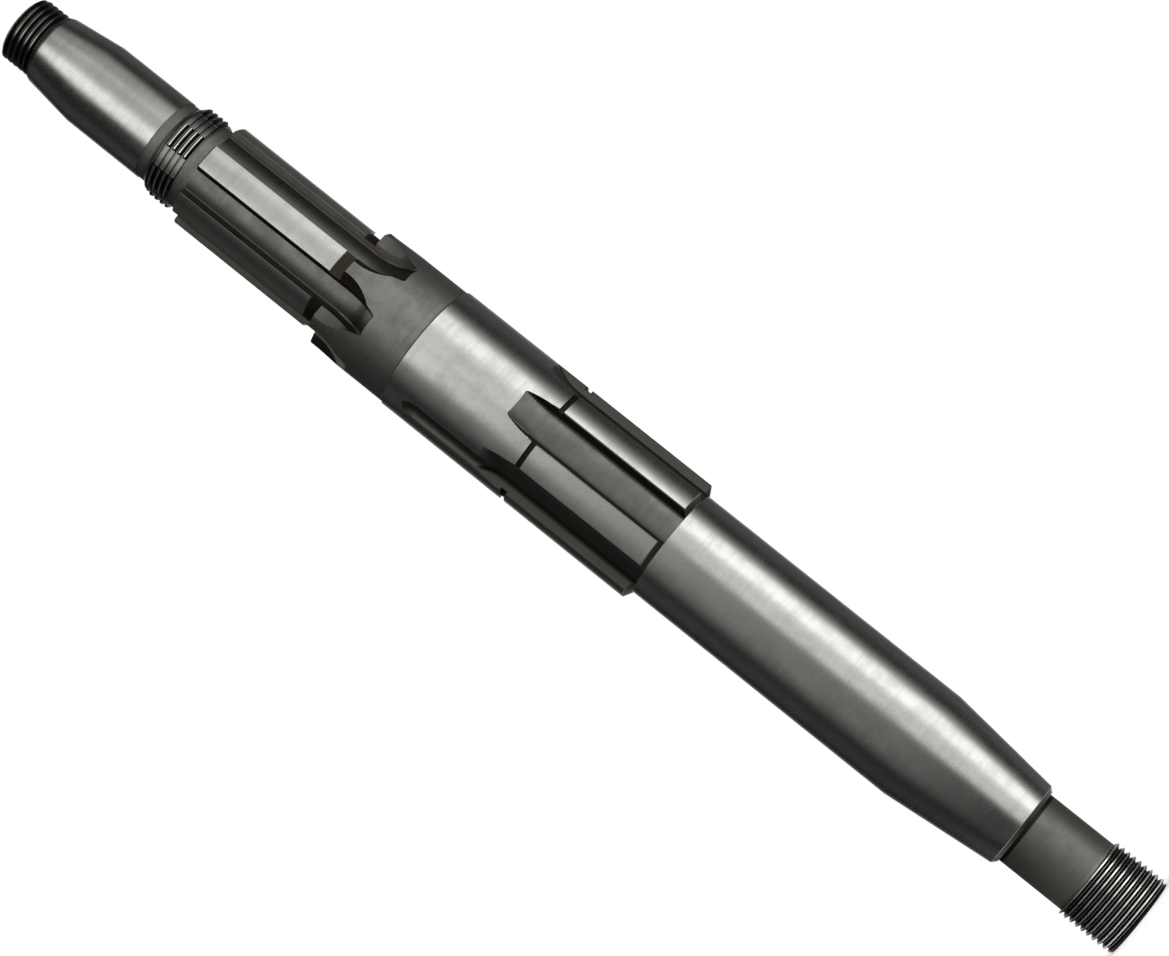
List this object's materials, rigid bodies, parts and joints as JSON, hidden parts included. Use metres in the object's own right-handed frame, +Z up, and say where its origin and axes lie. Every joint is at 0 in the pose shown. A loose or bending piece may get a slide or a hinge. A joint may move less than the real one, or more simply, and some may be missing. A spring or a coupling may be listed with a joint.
{
  "type": "splined shaft",
  "caption": "Stepped steel gearbox shaft with parallel-sided splines at its middle and near one end, ground journals, tapers, an oil slot, a ring groove and threaded ends.",
  "frame": {"origin": "centre of the lower end face, which is the end of the left-hand thread beside the long journal", "axes": "+Z up the shaft's axis towards the small threaded end, -Y through the middle of a tooth of the narrow splines"},
  "size_m": [0.0312, 0.0312, 0.317],
  "materials": {
    "steel": "ground journals and tapers, duller turned steel between them"
  },
  "bodies": {
    "root": {"splined_shaft": "steel"}
  },
  "joints": []
}
